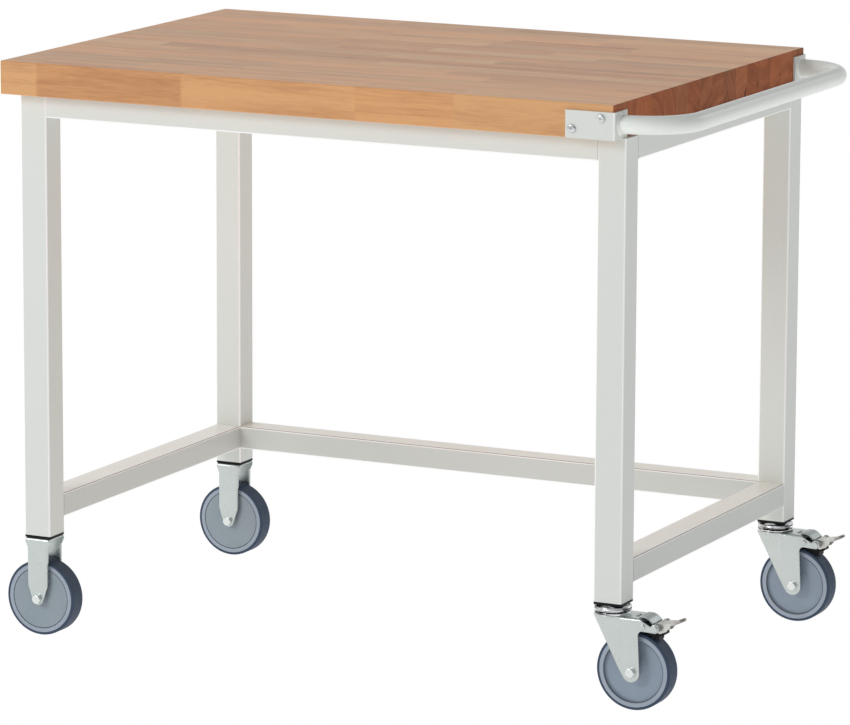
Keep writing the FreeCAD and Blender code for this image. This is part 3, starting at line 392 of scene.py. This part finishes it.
class StaveMesh:
    """Collects finger-jointed staves into one mesh, with their grain stored point by point."""

    def __init__(self, low, high):
        self.low = low
        self.high = high
        self.points = []
        self.faces = []
        self.slots = []
        self.grain = []
        self.tone = []

    def chamfer_planes(self):
        """Planes that take the sharp corner off the slab's twelve edges."""
        middle = (self.low + self.high) / 2
        half = (self.high - self.low) / 2
        for first, second in ((0, 1), (0, 2), (1, 2)):
            for sign in ((-1, -1), (-1, 1), (1, -1), (1, 1)):
                normal = Vector((0.0, 0.0, 0.0))
                normal[first] = sign[0]
                normal[second] = sign[1]
                point = middle.copy()
                point[first] += sign[0] * (half[first] - ARRIS)
                point[second] += sign[1] * half[second]
                yield point, normal.normalized()

    def block(self, x0, x1, y0, y1):
        """One stave piece; its ends are zigzag fingers, or flat at the ends of the slab."""
        z0, z1 = self.low.z, self.high.z
        count = round((z1 - z0) / FINGER_PITCH) * 2

        def end(x, flat):
            swing = 0.0 if flat else FINGER_DEPTH / 2
            heights = (z0, z1) if flat else [z0 + (z1 - z0) * i / count for i in range(count + 1)]
            return [(x + swing * (-1) ** i, z) for i, z in enumerate(heights)]

        left = end(x0, x0 <= self.low.x + 1e-6)
        right = end(x1, x1 >= self.high.x - 1e-6)
        outline = right + left[::-1]
        shape = bmesh.new()
        near = [shape.verts.new((x, y0, z)) for x, z in outline]
        far = [shape.verts.new((x, y1, z)) for x, z in outline]
        shape.faces.new(near)
        shape.faces.new(far[::-1])
        for i in range(len(outline)):
            j = (i + 1) % len(outline)
            shape.faces.new((near[j], near[i], far[i], far[j]))
        return shape

    def trim(self, shape):
        """Cuts a piece to the slab's chamfers and leaves no face with more than four corners."""
        for point, normal in self.chamfer_planes():
            geometry = list(shape.verts) + list(shape.edges) + list(shape.faces)
            plane = {"plane_co": point, "plane_no": normal}
            cut = bmesh.ops.bisect_plane(shape, geom=geometry, clear_outer=True, **plane)
            rim = [e for e in cut["geom_cut"] if isinstance(e, bmesh.types.BMEdge) and e.is_boundary]
            if rim:
                bmesh.ops.holes_fill(shape, edges=rim)
        bmesh.ops.triangulate(shape, faces=[f for f in shape.faces if len(f.verts) > 4])
        bmesh.ops.recalc_face_normals(shape, faces=shape.faces)

    def add(self, x0, x1, y0, y1, chance, lightness=None):
        shape = self.block(x0, x1, y0, y1)
        self.trim(shape)
        turn = chance.uniform(0.0, math.tau)
        pith = chance.uniform(*RING_DISTANCE)
        shift = chance.uniform(0.0, GRAIN_SHIFT)
        tone = chance.uniform(*OTHER_TONES) if lightness is None else lightness
        warmth = chance.random()
        middle = Vector((0.0, (y0 + y1) / 2, (self.low.z + self.high.z) / 2))
        first = len(self.points)
        for index, vert in enumerate(shape.verts):
            vert.index = index
            away = vert.co - middle
            u = away.y * math.cos(turn) - away.z * math.sin(turn) + pith
            v = away.y * math.sin(turn) + away.z * math.cos(turn)
            self.points.append(tuple(vert.co))
            self.grain.extend((away.x + shift, u, v))
            self.tone.extend((tone, warmth, 2 * away.y / (y1 - y0), 1.0))
        for face in shape.faces:
            self.faces.append([first + v.index for v in face.verts])
            self.slots.append(1 if abs(face.normal.x) > 0.7 else 0)
        shape.free()

    def make(self, name, materials):
        mesh = bpy.data.meshes.new(name)
        mesh.from_pydata(self.points, [], self.faces)
        mesh.attributes.new("grain", "FLOAT_VECTOR", "POINT").data.foreach_set("vector", self.grain)
        mesh.attributes.new("tone", "FLOAT_COLOR", "POINT").data.foreach_set("color", self.tone)
        for material in materials:
            mesh.materials.append(material)
        mesh.polygons.foreach_set("material_index", self.slots)
        mesh.update()
        return linked(name, mesh)


def linked(name, mesh):
    piece = bpy.data.objects.new(name, mesh)
    bpy.context.scene.collection.objects.link(piece)
    return piece


def stave_joints(length, chance):
    """Distances from the left end at which the pieces of one row meet."""
    joints = []
    place = chance.uniform(SHORTEST_FIRST_STAVE, STAVE_LENGTHS[1])
    while place < length - SHORTEST_LAST_STAVE:
        joints.append(place)
        place += chance.uniform(*STAVE_LENGTHS)
    return joints


def make_worktop():
    low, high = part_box("worktop")
    chance = random.Random(SEED)
    staves = StaveMesh(low, high)
    length = high.x - low.x
    width = (high.y - low.y) / STAVE_ROWS
    for row in range(STAVE_ROWS):
        y0 = low.y + row * width
        starts = list(FRONT_ROW) if row == 0 else [0.0, *stave_joints(length, chance)]
        for start, stop in zip(starts, [*starts[1:], length]):
            lightness = FRONT_ROW[start] if row == 0 else None
            staves.add(low.x + start, low.x + stop, y0, y0 + width, chance, lightness)
    cracks = [low.z + height for height in CRACK_HEIGHTS]
    side = beech("beech_side_grain", rgb(0.81, 0.46, 0.205), rgb(0.44, 0.175, 0.064))
    end = beech("beech_end_grain", rgb(0.445, 0.161, 0.071), rgb(0.163, 0.051, 0.0215), cracks)
    piece = staves.make("worktop_staves", (side, end))
    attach(piece, "frame")
    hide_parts("worktop")


# ---------------------------------------------------------------- CAD nodes

# Nodes that don't look like the rest of their slot, by the start of their names
OWN_LOOK = {
    "thread_guards": "guard_plastic",
    # Stretchers and the handle take lit and shaded copies of the powder coat, with painted light and shade
    "stretcher_": "stretcher_painted_light_coat",
    "push_handle": "handle_painted_light_coat",
    # Axle bolts and nuts: glossier zinc with a painted highlight in its lighter colour
    "axle_bolt": "axle_hardware_painted_highlight",
    "axle_nut": "axle_hardware_painted_highlight",
    "fixed_axle_bolts": "axle_hardware_painted_highlight",
    "fixed_axle_nuts": "axle_hardware_painted_highlight",
}


def finish_nodes(frame, materials):
    """Every CAD node gets the material of its slot, or its own look; the replaced worktop has neither."""
    slots = {row["node"]: row["material_slot"] for row in frame["record"]["subparts"]}
    for name, node in frame["nodes"].items():
        own = [look for start, look in OWN_LOOK.items() if name.startswith(start)]
        look = own[0] if own else slots[name]
        if look in materials:
            for holder in node.material_slots:
                holder.material = materials[look]


# ---------------------------------------------------------------- stage

def make_stage():
    """A pale glowing floor that is plain white to the camera, and clear to it from below."""
    mesh = bpy.data.meshes.new("floor")
    half = FLOOR_SIZE / 2
    corners = [(-half, -half, 0.0), (half, -half, 0.0), (half, half, 0.0), (-half, half, 0.0)]
    mesh.from_pydata(corners, [], [(0, 1, 2, 3)])
    floor = linked("floor", mesh)
    s = Shader("pale_floor")
    grey = rgb(FLOOR_GREY, FLOOR_GREY, FLOOR_GREY)
    inputs = {"Base Color": grey, "Roughness": 0.9, "Specular IOR Level": 0.0}
    inputs["Emission Color"] = rgb(1.0, 1.0, 1.0)
    inputs["Emission Strength"] = FLOOR_GLOW
    dull = s.add("ShaderNodeBsdfPrincipled", inputs)
    white = s.add("ShaderNodeEmission", {"Color": rgb(1.0, 1.0, 1.0), "Strength": 1.0})
    camera_ray = s.add("ShaderNodeLightPath")
    shaded = s.add("ShaderNodeMixShader", {0: camera_ray, 1: dull, 2: white})
    from_below = s.math("MULTIPLY", camera_ray, s.add("ShaderNodeNewGeometry", output=6))
    clear = s.add("ShaderNodeBsdfTransparent")
    shaded = s.add("ShaderNodeMixShader", {0: from_below, 1: shaded, 2: clear})
    mesh.materials.append(s.output(shaded))
    floor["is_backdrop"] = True


def make_sky():
    """White where the camera looks; the light itself is weak overhead, strong low down and from the left."""
    world = bpy.data.worlds.new("studio")
    bpy.context.scene.world = world
    world.use_nodes = True
    tree = world.node_tree
    tree.nodes.clear()
    make = tree.nodes.new
    link = tree.links.new
    place = make("ShaderNodeTexCoord")
    lean = make("ShaderNodeVectorMath")
    lean.operation = "DOT_PRODUCT"
    lean.inputs[1].default_value = SKY_LEAN
    link(place.outputs["Generated"], lean.inputs[0])
    level = make("ShaderNodeMath")
    level.operation = "ADD"
    level.inputs[1].default_value = SKY
    link(lean.outputs["Value"], level.inputs[0])
    light = make("ShaderNodeBackground")
    link(level.outputs[0], light.inputs["Strength"])
    white = make("ShaderNodeBackground")
    path = make("ShaderNodeLightPath")
    choose = make("ShaderNodeMixShader")
    link(path.outputs["Is Camera Ray"], choose.inputs[0])
    link(light.outputs[0], choose.inputs[1])
    link(white.outputs[0], choose.inputs[2])
    out = make("ShaderNodeOutputWorld")
    link(choose.outputs[0], out.inputs["Surface"])


def make_softbox(name, place, target, size, power):
    light = bpy.data.lights.new(name, "AREA")
    light.shape = "RECTANGLE"
    light.size = size[0]
    light.size_y = size[1]
    light.energy = power
    lamp = bpy.data.objects.new(name, light)
    lamp.location = place
    lamp.rotation_euler = (Vector(target) - Vector(place)).to_track_quat("-Z", "Y").to_euler()
    lamp.visible_camera = False
    bpy.context.scene.collection.objects.link(lamp)


def make_camera():
    yaw = math.radians(CAMERA_YAW)
    pitch = math.radians(CAMERA_PITCH)
    roll = math.radians(CAMERA_ROLL)
    forward = Vector((-math.sin(yaw) * math.cos(pitch), math.cos(yaw) * math.cos(pitch), math.sin(pitch)))
    level = Vector((math.cos(yaw), math.sin(yaw), 0.0))
    upright = level.cross(forward)
    right = level * math.cos(roll) + upright * math.sin(roll)
    up = upright * math.cos(roll) - level * math.sin(roll)
    turn = Matrix((right, up, -forward)).transposed().to_4x4()
    data = bpy.data.cameras.new("camera")
    data.sensor_width = SENSOR
    data.lens = CAMERA_LENS
    data.clip_end = 200.0
    camera = bpy.data.objects.new("camera", data)
    camera.matrix_world = Matrix.Translation(CAMERA_PLACE) @ turn
    bpy.context.scene.collection.objects.link(camera)
    bpy.context.scene.camera = camera


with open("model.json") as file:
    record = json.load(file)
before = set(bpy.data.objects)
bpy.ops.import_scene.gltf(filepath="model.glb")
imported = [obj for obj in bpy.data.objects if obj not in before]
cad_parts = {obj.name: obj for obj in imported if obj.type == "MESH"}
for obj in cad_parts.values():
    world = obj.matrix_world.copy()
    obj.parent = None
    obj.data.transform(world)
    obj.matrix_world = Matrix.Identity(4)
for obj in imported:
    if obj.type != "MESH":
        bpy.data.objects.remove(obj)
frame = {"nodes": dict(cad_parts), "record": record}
cad_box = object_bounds()
bpy.context.scene.view_settings.view_transform = "Standard"
make_camera()
make_sky()
make_stage()
make_softbox("softbox_front", **SOFTBOX_FRONT)
make_softbox("softbox_back", **SOFTBOX_BACK)
finish_nodes(frame, make_materials())
make_worktop()
boxes = [[list(corner) for corner in box] for box in (cad_box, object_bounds())]
